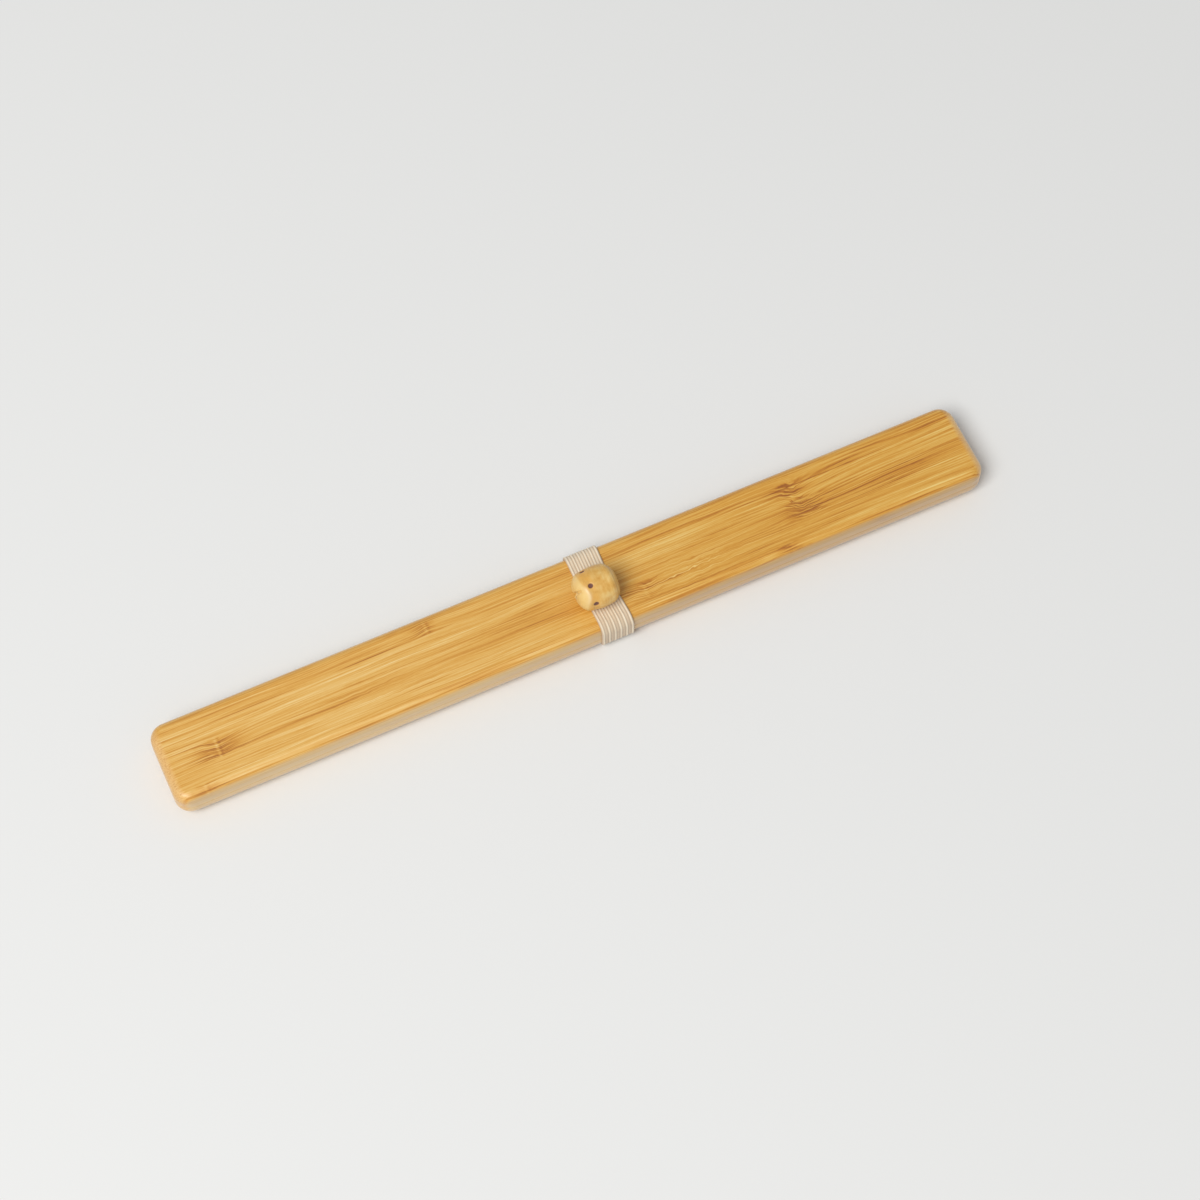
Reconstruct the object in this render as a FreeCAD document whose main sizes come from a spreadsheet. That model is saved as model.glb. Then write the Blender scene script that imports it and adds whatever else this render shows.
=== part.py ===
import FreeCAD, Part
import math
import os

import Sketcher
from FreeCAD import Placement, Rotation, Vector

# Slim travel case of bamboo with a pair of chopsticks inside, held shut by an elastic band with a root bead.
#
# The case is two long shells, a base and a lid, that meet on a flat parting face, and a dowel at each end
# keeps the lid in line. The elastic is one woven ring round both shells. The bead sits on it, and a thread
# runs through the bead's bore, round both its ends and into the elastic.
#
# X runs along the case, the front side faces -Y and Z is up. The origin lies under the middle of the case,
# in the plane that the underside of the elastic rests on.

SIZES = {
    # chopsticks: a square head with rounded corners, then a taper to a nearly round tip
    "stick_length": 230.0,
    "stick_head_length": 95.0,
    "stick_head_size": 6.0,
    "stick_head_corner": 1.3,
    "stick_tip_size": 2.4,
    "stick_tip_corner": 1.1,
    "stick_end_chamfer": 0.4,
    "stick_least_flat": 0.2,
    "stick_gap": 1.0,
    # room round the chopsticks in the trough, half of its height in each shell
    "stick_end_clearance": 2.0,
    "stick_side_clearance": 1.5,
    "stick_top_clearance": 0.8,
    "trough_corner_radius": 4.0,
    "trough_floor_round": 1.0,
    # walls of the case round the trough
    "end_wall": 8.0,
    "side_wall": 4.9,
    "base_floor": 1.9,
    "lid_roof": 1.9,
    "case_corner_radius": 4.7,
    "base_edge_round": 3.8,
    "lid_edge_round": 2.85,
    "parting_edge_break": 0.15,
    # locating dowels in the end walls, glued in the base and loose in the lid
    "dowel_diameter": 2.5,
    "dowel_seat_depth": 2.8,
    "dowel_proud": 2.5,
    "dowel_side_clearance": 0.08,
    "dowel_end_clearance": 0.3,
    "dowel_end_chamfer": 0.3,
    # elastic band
    "band_width": 9.8,
    "band_thickness": 0.8,
    "band_from_middle": 7.4,
    "band_corner_clearance": 0.2,
    # root bead, placed from the middle of the band
    "bead_length": 12.4,
    "bead_diameter": 12.3,
    "bead_crown_radius": 22.0,
    "bead_left_round": 3.7,
    "bead_right_round": 3.4,
    "bead_bore_diameter": 1.9,
    "bead_mouth_rim": 0.4,
    "bead_past_band_middle": 2.35,
    "bead_to_front": 2.65,
    "bead_sink": 0.2,
    # knot ring round the bead, with a root scar every sixth of a turn
    "knot_ring_shoulder": 0.1,
    "knot_ring_width": 1.5,
    "knot_ring_depth": 0.15,
    "scar_count": 6,
    "scar_diameter": 1.3,
    "scar_depth": 0.35,
    "scar_first_angle": 14.0,
    # thread
    "thread_diameter": 0.4,
    "thread_clearance": 0.1,
    "thread_tail": 1.5,
}

# Places and sizes that follow from the driving ones
TROUGH_LENGTH = "(sizes.stick_length + 2 * sizes.stick_end_clearance)"
TROUGH_WIDTH = "(2 * sizes.stick_head_size + sizes.stick_gap + 2 * sizes.stick_side_clearance)"
TROUGH_HALF_HEIGHT = "((sizes.stick_head_size + sizes.stick_top_clearance) / 2)"
CASE_HALF_LENGTH = f"({TROUGH_LENGTH} / 2 + sizes.end_wall)"
CASE_HALF_WIDTH = f"({TROUGH_WIDTH} / 2 + sizes.side_wall)"
CASE_BOTTOM = "sizes.band_thickness"
BASE_THICKNESS = f"({TROUGH_HALF_HEIGHT} + sizes.base_floor)"
LID_THICKNESS = f"({TROUGH_HALF_HEIGHT} + sizes.lid_roof)"
PARTING = f"({CASE_BOTTOM} + {BASE_THICKNESS})"
CASE_TOP = f"({PARTING} + {LID_THICKNESS})"
LARGEST_ROUND = "sizes.case_corner_radius - sizes.parting_edge_break"
BASE_ROUND = f"min(sizes.base_edge_round; {LARGEST_ROUND}; {BASE_THICKNESS} - 2 * sizes.parting_edge_break)"
LID_ROUND = f"min(sizes.lid_edge_round; {LARGEST_ROUND}; {LID_THICKNESS} - 2 * sizes.parting_edge_break)"
DOWEL_PLACE = f"({CASE_HALF_LENGTH} - sizes.end_wall / 2)"
DOWEL_HOLE_IN_LID = "sizes.dowel_proud + sizes.dowel_end_clearance"
BAND_TOP = f"({CASE_TOP} + sizes.band_thickness)"
BEAD_RADIUS = "(sizes.bead_diameter / 2)"
BEAD_HALF_LENGTH = "(sizes.bead_length / 2)"
BORE_RADIUS = "(sizes.bead_bore_diameter / 2)"
THREAD_OFFSET = "(sizes.thread_diameter / 2 + sizes.thread_clearance)"
BEAD_PLACE = {
    "x": "sizes.band_from_middle - sizes.bead_past_band_middle",
    "y": "-sizes.bead_to_front",
    "z": f"{BAND_TOP} - sizes.bead_sink + {BEAD_RADIUS}",
}

doc = FreeCAD.newDocument("chopstick_case")
sheet = doc.addObject("Spreadsheet::Sheet", "sizes")
for row, (alias, number) in enumerate(SIZES.items(), start=1):
    sheet.set(f"A{row}", alias)
    sheet.set(f"B{row}", str(number))
    sheet.setAlias(f"B{row}", alias)
doc.recompute()


def value_of(expression):
    """The number that an expression on the sheet gives."""
    return float(sheet.evalExpression(expression))


def new_body(name):
    """An empty body. Its label names its file."""
    body = doc.addObject("PartDesign::Body", name)
    body.Label = name
    return body


def place(thing, **coordinates):
    """Ties an object's place along x, y or z to the sheet."""
    for axis, expression in coordinates.items():
        thing.setExpression(f"Placement.Base.{axis}", expression)


def origin_feature(body, role):
    """One of a body's own origin planes or axes."""
    return next(feature for feature in body.Origin.OriginFeatures if feature.Role == role)


def new_sketch(body, name, plane, offset="0"):
    """A sketch on one of the body's origin planes, moved along its normal by an expression."""
    sketch = body.newObject("Sketcher::SketchObject", name)
    sketch.AttachmentSupport = [(origin_feature(body, plane), "")]
    sketch.MapMode = "FlatFace"
    sketch.setExpression("AttachmentOffset.Base.z", offset)
    doc.recompute()
    return sketch


def drive(sketch, expression, kind, *where):
    """Adds a dimension to a sketch and ties it to the sheet."""
    index = sketch.addConstraint(Sketcher.Constraint(kind, *where, value_of(expression)))
    sketch.setExpression(f"Constraints[{index}]", expression)


def add_arc(sketch, centre, radius, start, sweep=90):
    """An arc drawn anticlockwise from a start angle in degrees."""
    circle = Part.Circle(Vector(*centre, 0), Vector(0, 0, 1), radius)
    return sketch.addGeometry(Part.ArcOfCircle(circle, math.radians(start), math.radians(start + sweep)))


def add_line(sketch, start, end):
    """A straight line between two points of the sketch."""
    return sketch.addGeometry(Part.LineSegment(Vector(*start, 0), Vector(*end, 0)))


def rounded_rectangle(sketch, half_width, low, high, lower_radius, upper_radius):
    """A closed rectangle, centred on the vertical axis, with an arc at each corner.

    All five sizes are expressions: low and high are the heights of the lower and the upper side.
    """
    w, z0, z1, r0, r1 = (value_of(e) for e in (half_width, low, high, lower_radius, upper_radius))
    bottom = add_line(sketch, (-w + r0, z0), (w - r0, z0))
    lower_right = add_arc(sketch, (w - r0, z0 + r0), r0, 270)
    right = add_line(sketch, (w, z0 + r0), (w, z1 - r1))
    upper_right = add_arc(sketch, (w - r1, z1 - r1), r1, 0)
    top = add_line(sketch, (w - r1, z1), (-w + r1, z1))
    upper_left = add_arc(sketch, (-w + r1, z1 - r1), r1, 90)
    left = add_line(sketch, (-w, z1 - r1), (-w, z0 + r0))
    lower_left = add_arc(sketch, (-w + r0, z0 + r0), r0, 180)
    outline = (bottom, lower_right, right, upper_right, top, upper_left, left, lower_left)
    for piece, following in zip(outline, outline[1:] + outline[:1]):
        sketch.addConstraint(Sketcher.Constraint("Tangent", piece, 2, following, 1))
    for level in (bottom, top):
        sketch.addConstraint(Sketcher.Constraint("Horizontal", level))
    for upright in (left, right):
        sketch.addConstraint(Sketcher.Constraint("Vertical", upright))
    sketch.addConstraint(Sketcher.Constraint("Equal", lower_left, lower_right))
    sketch.addConstraint(Sketcher.Constraint("Equal", upper_left, upper_right))
    drive(sketch, lower_radius, "Radius", lower_right)
    drive(sketch, upper_radius, "Radius", upper_right)
    drive(sketch, half_width, "DistanceX", -1, 1, right, 1)
    drive(sketch, half_width, "DistanceX", left, 1, -1, 1)
    drive(sketch, low, "DistanceY", -1, 1, bottom, 1)
    drive(sketch, high, "DistanceY", -1, 1, top, 1)


def add_circle(sketch, x, y, diameter):
    """A circle whose centre and diameter are expressions."""
    centre = Vector(value_of(x), value_of(y), 0)
    circle = sketch.addGeometry(Part.Circle(centre, Vector(0, 0, 1), value_of(diameter) / 2))
    drive(sketch, x, "DistanceX", -1, 1, circle, 3)
    drive(sketch, y, "DistanceY", -1, 1, circle, 3)
    drive(sketch, diameter, "Diameter", circle)


def extrude(body, name, sketch, length, kind="Pad", backwards=False):
    """A pad, or a pocket that has to take material away."""
    before = body.Shape.Volume if kind == "Pocket" else 0.0
    feature = body.newObject(f"PartDesign::{kind}", name)
    feature.Profile = sketch
    feature.Reversed = backwards
    feature.setExpression("Length", length)
    doc.recompute()
    if kind == "Pocket" and not feature.Shape.Volume < before:
        raise ValueError(f"{name} cuts nothing")
    return feature


def edges_at(feature, axis, position):
    """The names of a feature's edges that lie whole in the plane across one axis at a position."""
    near = 1e-4
    names = []
    for number, edge in enumerate(feature.Shape.Edges, start=1):
        box = edge.BoundBox
        low, high = getattr(box, f"{axis}Min"), getattr(box, f"{axis}Max")
        if abs(low - position) < near and abs(high - position) < near:
            names.append(f"Edge{number}")
    return names


def dress_edges(body, name, kind, size, axis, position):
    """A fillet or a chamfer on the tip's edges in one plane."""
    base = body.Tip
    edges = edges_at(base, axis, value_of(position))
    feature = body.newObject(f"PartDesign::{kind}", name)
    feature.Base = (base, edges)
    feature.setExpression("Radius" if kind == "Fillet" else "Size", size)
    doc.recompute()
    return feature


def case_shell(name, thickness, edge_round, dowel_depth, upwards):
    """One half of the case: a rounded slab with half the trough and a dowel hole in each end wall."""
    body = new_body(name)
    outline = new_sketch(body, f"{name}_outline", "XY_Plane", PARTING)
    rounded_rectangle(
        outline,
        CASE_HALF_LENGTH,
        f"-{CASE_HALF_WIDTH}",
        CASE_HALF_WIDTH,
        "sizes.case_corner_radius",
        "sizes.case_corner_radius",
    )
    extrude(body, f"{name}_slab", outline, thickness, backwards=not upwards)
    outer_face = CASE_TOP if upwards else CASE_BOTTOM
    dress_edges(body, f"{name}_edge_round", "Fillet", edge_round, "Z", outer_face)
    dress_edges(body, f"{name}_edge_break", "Chamfer", "sizes.parting_edge_break", "Z", PARTING)
    trough = new_sketch(body, f"{name}_trough", "XY_Plane", PARTING)
    rounded_rectangle(
        trough,
        f"{TROUGH_LENGTH} / 2",
        f"-{TROUGH_WIDTH} / 2",
        f"{TROUGH_WIDTH} / 2",
        "sizes.trough_corner_radius",
        "sizes.trough_corner_radius",
    )
    extrude(body, f"{name}_hollow", trough, TROUGH_HALF_HEIGHT, "Pocket", backwards=upwards)
    floor = f"{PARTING} {'+' if upwards else '-'} {TROUGH_HALF_HEIGHT}"
    dress_edges(body, f"{name}_floor_round", "Fillet", "sizes.trough_floor_round", "Z", floor)
    holes = new_sketch(body, f"{name}_dowel_holes", "XY_Plane", PARTING)
    hole_diameter = "sizes.dowel_diameter + 2 * sizes.dowel_side_clearance"
    for place_along in (DOWEL_PLACE, f"-{DOWEL_PLACE}"):
        add_circle(holes, place_along, "0", hole_diameter)
    extrude(body, f"{name}_dowel_seats", holes, dowel_depth, "Pocket", backwards=upwards)
    return body


def locating_dowel(name, place_along):
    """A short dowel that stands on the bottom of its hole in the base and reaches up into the lid."""
    body = new_body(name)
    circle = new_sketch(body, f"{name}_circle", "XY_Plane")
    add_circle(circle, "0", "0", "sizes.dowel_diameter")
    length = "sizes.dowel_seat_depth + sizes.dowel_proud"
    extrude(body, f"{name}_pin", circle, length)
    dress_edges(body, f"{name}_lower_chamfer", "Chamfer", "sizes.dowel_end_chamfer", "Z", "0")
    dress_edges(body, f"{name}_upper_chamfer", "Chamfer", "sizes.dowel_end_chamfer", "Z", length)
    place(body, x=place_along, z=f"{PARTING} - sizes.dowel_seat_depth")
    return body


def chopstick(name, side):
    """One chopstick, lying on the flat of its head on the trough's floor, with its tip to the left."""
    body = new_body(name)
    stations = (
        ("tip_end", "tip", "0", "sizes.stick_end_chamfer"),
        ("tip", "tip", "sizes.stick_end_chamfer", "0"),
        ("shoulder", "head", "sizes.stick_length - sizes.stick_head_length", "0"),
        ("head", "head", "sizes.stick_length - sizes.stick_end_chamfer", "0"),
        ("head_end", "head", "sizes.stick_length", "sizes.stick_end_chamfer"),
    )
    sections = []
    for station, end, along, chamfer in stations:
        section = new_sketch(body, f"{name}_{station}", "YZ_Plane", along)
        full = f"sizes.stick_{end}_size"
        across = f"({full} - 2 * {chamfer})"
        corner = f"(min(sizes.stick_{end}_corner; ({full} - sizes.stick_least_flat) / 2) - {chamfer})"
        rounded_rectangle(section, f"{across} / 2", f"-{across} / 2", f"{across} / 2", corner, corner)
        sections.append(section)
    loft = body.newObject("PartDesign::AdditiveLoft", f"{name}_loft")
    loft.Profile = sections[0]
    loft.Sections = sections[1:]
    loft.Ruled = True
    place(
        body,
        x="-sizes.stick_length / 2",
        y=f"{side} * (sizes.stick_head_size + sizes.stick_gap) / 2",
        z=f"{CASE_BOTTOM} + sizes.base_floor + sizes.stick_head_size / 2",
    )
    doc.recompute()
    return body


def band_ring():
    """The elastic: a ring round both shells, flat on their faces and a hair clear of their rounded edges."""
    body = new_body("band_ring")
    section = new_sketch(body, "band_section", "YZ_Plane", "sizes.band_from_middle - sizes.band_width / 2")
    lower_radius = f"({BASE_ROUND} - sizes.band_corner_clearance)"
    upper_radius = f"({LID_ROUND} - sizes.band_corner_clearance)"
    rounded_rectangle(section, CASE_HALF_WIDTH, CASE_BOTTOM, CASE_TOP, lower_radius, upper_radius)
    rounded_rectangle(
        section,
        f"{CASE_HALF_WIDTH} + sizes.band_thickness",
        "0",
        BAND_TOP,
        f"{lower_radius} + sizes.band_thickness",
        f"{upper_radius} + sizes.band_thickness",
    )
    extrude(body, "band_strip", section, "sizes.band_width")
    return body


def end_round(side):
    """The radius of a rounded end, limited so that a flat rim is left round the mouth of the bore."""
    crown = "sizes.bead_crown_radius"
    chord = f"({BORE_RADIUS} + sizes.bead_mouth_rim - {BEAD_RADIUS} + {crown})"
    by_rim = f"({crown} ^ 2 - {BEAD_HALF_LENGTH} ^ 2 - {chord} ^ 2) / (2 * ({crown} - {BEAD_HALF_LENGTH}))"
    return f"min(sizes.bead_{side}_round; {by_rim}; {BEAD_HALF_LENGTH} - sizes.bead_mouth_rim)"


def end_round_centre(side):
    """Where a rounded end's circle has its centre: out from the bead's middle along the bore, and off the bore.

    The circle touches the flat end and, from inside, the circle of the crown.
    """
    along = f"({BEAD_HALF_LENGTH} - {end_round(side)})"
    rise = f"sqrt((sizes.bead_crown_radius - {end_round(side)}) ^ 2 - {along} ^ 2)"
    return along, f"({BEAD_RADIUS} - sizes.bead_crown_radius + {rise})"


def knot_ring_place():
    """How far the knot ring lies left of the bead's middle. It starts a shoulder past the rounded left end."""
    along, _ = end_round_centre("left")
    round_end = f"{along} * sizes.bead_crown_radius / (sizes.bead_crown_radius - {end_round('left')})"
    return f"({round_end} - sizes.knot_ring_shoulder - sizes.knot_ring_width / 2)"


def knot_ring_floor():
    """How far the floor of the knot ring, which is sunk in the crown, lies off the bore's axis."""
    crown_height = f"sqrt(sizes.bead_crown_radius ^ 2 - {knot_ring_place()} ^ 2)"
    return f"({BEAD_RADIUS} - sizes.bead_crown_radius + {crown_height} - sizes.knot_ring_depth)"


def bead_profile(body):
    """The bead's half section: bore, flat ends, rounded ends and a crown parted by the knot ring's hollow."""
    half_length, bore, radius, crown = (
        value_of(e) for e in (BEAD_HALF_LENGTH, BORE_RADIUS, BEAD_RADIUS, "sizes.bead_crown_radius")
    )
    middle = radius - crown
    ring_cutter = "(sizes.knot_ring_width ^ 2 / (8 * sizes.knot_ring_depth) + sizes.knot_ring_depth / 2)"
    ring_height = f"({knot_ring_floor()} + {ring_cutter})"
    ring_x, ring_z, cutter = -value_of(knot_ring_place()), value_of(ring_height), value_of(ring_cutter)
    span = math.hypot(ring_x, ring_z - middle)
    towards_ring = math.degrees(math.atan2(ring_z - middle, ring_x))
    crown_half = math.degrees(math.acos((span**2 + crown**2 - cutter**2) / (2 * span * crown)))
    ring_half = math.degrees(math.acos((span**2 + cutter**2 - crown**2) / (2 * span * cutter)))
    ends = {}
    for side, sign in (("left", -1), ("right", 1)):
        along, below = (value_of(e) for e in end_round_centre(side))
        rounding = value_of(end_round(side))
        ends[side] = (sign * along, below, rounding, math.degrees(math.atan2(below - middle, sign * along)))
    profile = new_sketch(body, "bead_profile", "XY_Plane")
    x, z, r, touch = ends["right"]
    outline = [
        add_line(profile, (-half_length, bore), (half_length, bore)),
        add_line(profile, (half_length, bore), (half_length, z)),
        add_arc(profile, (x, z), r, 0, touch),
        add_arc(profile, (0, middle), crown, touch, towards_ring - crown_half - touch),
        add_arc(profile, (ring_x, ring_z), cutter, towards_ring + 180 - ring_half, 2 * ring_half),
    ]
    x, z, r, touch = ends["left"]
    outline += [
        add_arc(profile, (0, middle), crown, towards_ring + crown_half, touch - towards_ring - crown_half),
        add_arc(profile, (x, z), r, touch, 180 - touch),
        add_line(profile, (-half_length, z), (-half_length, bore)),
    ]
    inner, right_end, right_round, right_crown, ring, left_crown, left_round, left_end = outline
    for kind, first, first_point, second, second_point in (
        ("Coincident", inner, 2, right_end, 1),
        ("Tangent", right_end, 2, right_round, 1),
        ("Tangent", right_round, 2, right_crown, 1),
        ("Coincident", right_crown, 2, ring, 2),
        ("Coincident", ring, 1, left_crown, 1),
        ("Tangent", left_crown, 2, left_round, 1),
        ("Tangent", left_round, 2, left_end, 1),
        ("Coincident", left_end, 2, inner, 1),
        ("Coincident", right_crown, 3, left_crown, 3),
    ):
        profile.addConstraint(Sketcher.Constraint(kind, first, first_point, second, second_point))
    profile.addConstraint(Sketcher.Constraint("Horizontal", inner))
    profile.addConstraint(Sketcher.Constraint("Vertical", right_end))
    profile.addConstraint(Sketcher.Constraint("Vertical", left_end))
    profile.addConstraint(Sketcher.Constraint("PointOnObject", right_crown, 3, -2))
    drive(profile, BEAD_HALF_LENGTH, "DistanceX", -1, 1, inner, 2)
    drive(profile, BEAD_HALF_LENGTH, "DistanceX", inner, 1, -1, 1)
    drive(profile, BORE_RADIUS, "DistanceY", -1, 1, inner, 1)
    drive(profile, "sizes.bead_crown_radius", "Radius", right_crown)
    drive(profile, "sizes.bead_crown_radius", "Radius", left_crown)
    drive(profile, f"sizes.bead_crown_radius - {BEAD_RADIUS}", "DistanceY", right_crown, 3, -1, 1)
    drive(profile, end_round("right"), "Radius", right_round)
    drive(profile, end_round("left"), "Radius", left_round)
    drive(profile, ring_cutter, "Radius", ring)
    drive(profile, ring_height, "DistanceY", -1, 1, ring, 3)
    drive(profile, f"-{knot_ring_place()}", "DistanceX", -1, 1, ring, 3)
    return profile


def root_bead():
    """The bead: a barrel turned about X round its bore, with root scars in a shallow knot ring."""
    body = new_body("root_bead")
    barrel = body.newObject("PartDesign::Revolution", "bead_barrel")
    barrel.Profile = bead_profile(body)
    barrel.ReferenceAxis = (origin_feature(body, "X_Axis"), [""])
    barrel.Angle = 360
    doc.recompute()
    scar = new_sketch(body, "scar_circle", "XY_Plane", BEAD_RADIUS)
    add_circle(scar, f"-{knot_ring_place()}", "0", "sizes.scar_diameter")
    scar_reach = f"{BEAD_RADIUS} - {knot_ring_floor()} + sizes.scar_depth"
    first_scar = extrude(body, "scar", scar, scar_reach, "Pocket")
    ring = body.newObject("PartDesign::PolarPattern", "scar_ring")
    ring.Originals = [first_scar]
    ring.Axis = (origin_feature(body, "X_Axis"), [""])
    ring.Angle = 360
    ring.setExpression("Occurrences", "sizes.scar_count")
    body.Tip = ring
    body.Placement = Placement(Vector(), Rotation(Vector(1, 0, 0), value_of("sizes.scar_first_angle")))
    body.setExpression("Placement.Rotation.Angle", "sizes.scar_first_angle")
    place(body, **BEAD_PLACE)
    doc.recompute()
    return body


def thread_tail(side):
    """How far the thread runs on under the bead. Neither end's tail passes the bead's middle."""
    return f"min(sizes.thread_tail; {end_round_centre(side)[0]})"


def thread_end(path, side, sign):
    """One end of the thread's path: a tail under the bead, a turn round its end, a leg and a turn inwards.

    Returns the last turn and the number of its point in the bore.
    """
    along, below = end_round_centre(side)
    reach = f"({end_round(side)} + {THREAD_OFFSET})"
    a, b, r, off, tail = (value_of(e) for e in (along, below, reach, THREAD_OFFSET, thread_tail(side)))
    half_length, bore = value_of(BEAD_HALF_LENGTH), value_of(BORE_RADIUS)
    tail_line = add_line(path, (sign * (a - tail), -b - r), (sign * a, -b - r))
    turn_round = add_arc(path, (sign * a, -b), r, 180 if sign < 0 else 270)
    leg = add_line(path, (sign * (half_length + off), -b), (sign * (half_length + off), -bore))
    turn_in = add_arc(path, (sign * half_length, -bore), off, 90 if sign < 0 else 0)
    low_point, high_point = (2, 1) if sign < 0 else (1, 2)
    path.addConstraint(Sketcher.Constraint("Tangent", tail_line, 2, turn_round, low_point))
    path.addConstraint(Sketcher.Constraint("Tangent", turn_round, high_point, leg, 1))
    path.addConstraint(Sketcher.Constraint("Tangent", leg, 2, turn_in, low_point))
    drive(path, f"{sign} * {along}", "DistanceX", -1, 1, turn_round, 3)
    drive(path, below, "DistanceY", turn_round, 3, -1, 1)
    drive(path, reach, "Radius", turn_round)
    drive(path, THREAD_OFFSET, "Radius", turn_in)
    drive(path, f"{sign} * {BEAD_HALF_LENGTH}", "DistanceX", -1, 1, turn_in, 3)
    drive(path, BORE_RADIUS, "DistanceY", turn_in, 3, -1, 1)
    drive(path, f"{sign} * {thread_tail(side)}", "DistanceX", tail_line, 1, tail_line, 2)
    path.addConstraint(Sketcher.Constraint("Horizontal", tail_line))
    return turn_in, high_point


def thread_sweep():
    """The thread before it is trimmed: along the bore, round both ends of the bead and into the elastic."""
    body = new_body("thread_sweep")
    path = new_sketch(body, "thread_path", "XZ_Plane")
    left_turn, left_point = thread_end(path, "left", -1)
    right_turn, right_point = thread_end(path, "right", 1)
    half_length, height = value_of(BEAD_HALF_LENGTH), value_of(f"{THREAD_OFFSET} - {BORE_RADIUS}")
    run = add_line(path, (-half_length, height), (half_length, height))
    path.addConstraint(Sketcher.Constraint("Tangent", left_turn, left_point, run, 1))
    path.addConstraint(Sketcher.Constraint("Tangent", right_turn, right_point, run, 2))
    along, below = end_round_centre("left")
    start = new_sketch(body, "thread_start", "YZ_Plane", f"{thread_tail('left')} - {along}")
    add_circle(start, "0", f"-({below} + {end_round('left')} + {THREAD_OFFSET})", "sizes.thread_diameter")
    pipe = body.newObject("PartDesign::AdditivePipe", "thread_pipe")
    pipe.Profile = start
    pipe.Spine = (path, [])
    place(body, **BEAD_PLACE)
    doc.recompute()
    return body


def trimmed(name, thing, cutter):
    """What is left of one thing outside another. Its label names its file."""
    cut = doc.addObject("Part::Cut", name)
    cut.Label = name
    cut.Base = thing
    cut.Tool = cutter
    doc.recompute()
    return cut


parts = [
    case_shell("case_base", BASE_THICKNESS, BASE_ROUND, "sizes.dowel_seat_depth", upwards=False),
    case_shell("case_lid", LID_THICKNESS, LID_ROUND, DOWEL_HOLE_IN_LID, upwards=True),
    locating_dowel("locating_dowel_left", f"-{DOWEL_PLACE}"),
    locating_dowel("locating_dowel_right", DOWEL_PLACE),
    chopstick("chopstick_front", -1),
    chopstick("chopstick_back", 1),
]
lid = parts[1]
ring = band_ring()
bead = root_bead()
parts.append(bead)
parts.append(trimmed("elastic_band", ring, bead))
outside_band = trimmed("thread_outside_band", thread_sweep(), ring)
outside_lid = trimmed("thread_outside_lid", outside_band, lid)
parts.append(trimmed("bead_thread", outside_lid, bead))

doc.recompute()
for thing in doc.Objects:
    if {"Invalid", "Error"} & set(thing.State):
        raise ValueError(f"{thing.Label} failed")
for part in parts:
    if part.Shape.isNull() or not part.Shape.isValid() or len(part.Shape.Solids) != 1:
        raise ValueError(f"{part.Label} is not one valid solid")

os.makedirs("parts", exist_ok=True)
for part in parts:
    part.Shape.exportStep(f"parts/{part.Label}.step")
    print(f"{part.Label}: {part.Shape.Volume:.1f} mm3")
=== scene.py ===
"""The finished look of a bamboo chopstick case that a ribbed elastic with a root bead holds shut.

The case, its dowels and its chopsticks are the CAD solids themselves, dressed in bamboo. The elastic, the
bead and the bead's thread are surfaces worked out here round their CAD solids. Shapes are in millimetres
until a mesh is made.
"""

import logging
import math
from dataclasses import dataclass
from enum import Enum
from typing import Any, Optional, Union

import bpy
import numpy as np
from mathutils import Matrix, Vector


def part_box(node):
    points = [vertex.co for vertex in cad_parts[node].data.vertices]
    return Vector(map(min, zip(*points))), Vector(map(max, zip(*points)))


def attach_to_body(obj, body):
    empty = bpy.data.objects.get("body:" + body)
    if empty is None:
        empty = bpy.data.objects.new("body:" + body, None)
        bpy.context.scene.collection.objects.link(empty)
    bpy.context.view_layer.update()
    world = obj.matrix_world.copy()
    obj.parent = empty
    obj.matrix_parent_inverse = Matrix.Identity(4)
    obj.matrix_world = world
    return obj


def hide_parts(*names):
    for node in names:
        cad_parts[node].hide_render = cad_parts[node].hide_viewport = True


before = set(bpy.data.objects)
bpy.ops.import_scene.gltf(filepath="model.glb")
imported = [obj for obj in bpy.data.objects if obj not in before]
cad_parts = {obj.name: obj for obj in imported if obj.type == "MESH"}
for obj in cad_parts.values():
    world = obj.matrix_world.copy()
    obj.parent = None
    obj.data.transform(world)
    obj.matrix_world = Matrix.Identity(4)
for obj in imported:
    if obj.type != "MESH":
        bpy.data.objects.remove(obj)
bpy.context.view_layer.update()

MM = 0.001
WHOLE_TURN = 2.0 * math.pi
COLOUR_A, COLOUR_B, COLOUR_RESULT = 6, 7, 2
LOG = logging.getLogger("chopstick_case")

Colour = tuple[float, float, float]


class Slot(Enum):
    """Names of material slots."""

    CASE = "case_bamboo"
    STICK = "stick_bamboo"
    DOWEL = "dowel_wood"
    ELASTIC = "woven_elastic"
    BEAD = "root_bamboo"
    THREAD = "sewing_thread"


class Layer(Enum):
    """Numbers that a mesh carries on its points for its finish to read."""

    ACROSS = "across"
    ALONG = "along"
    RIB = "rib"
    SCAR = "scar"
    RIDGE = "ridge"
    LOBE = "lobe"


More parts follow.
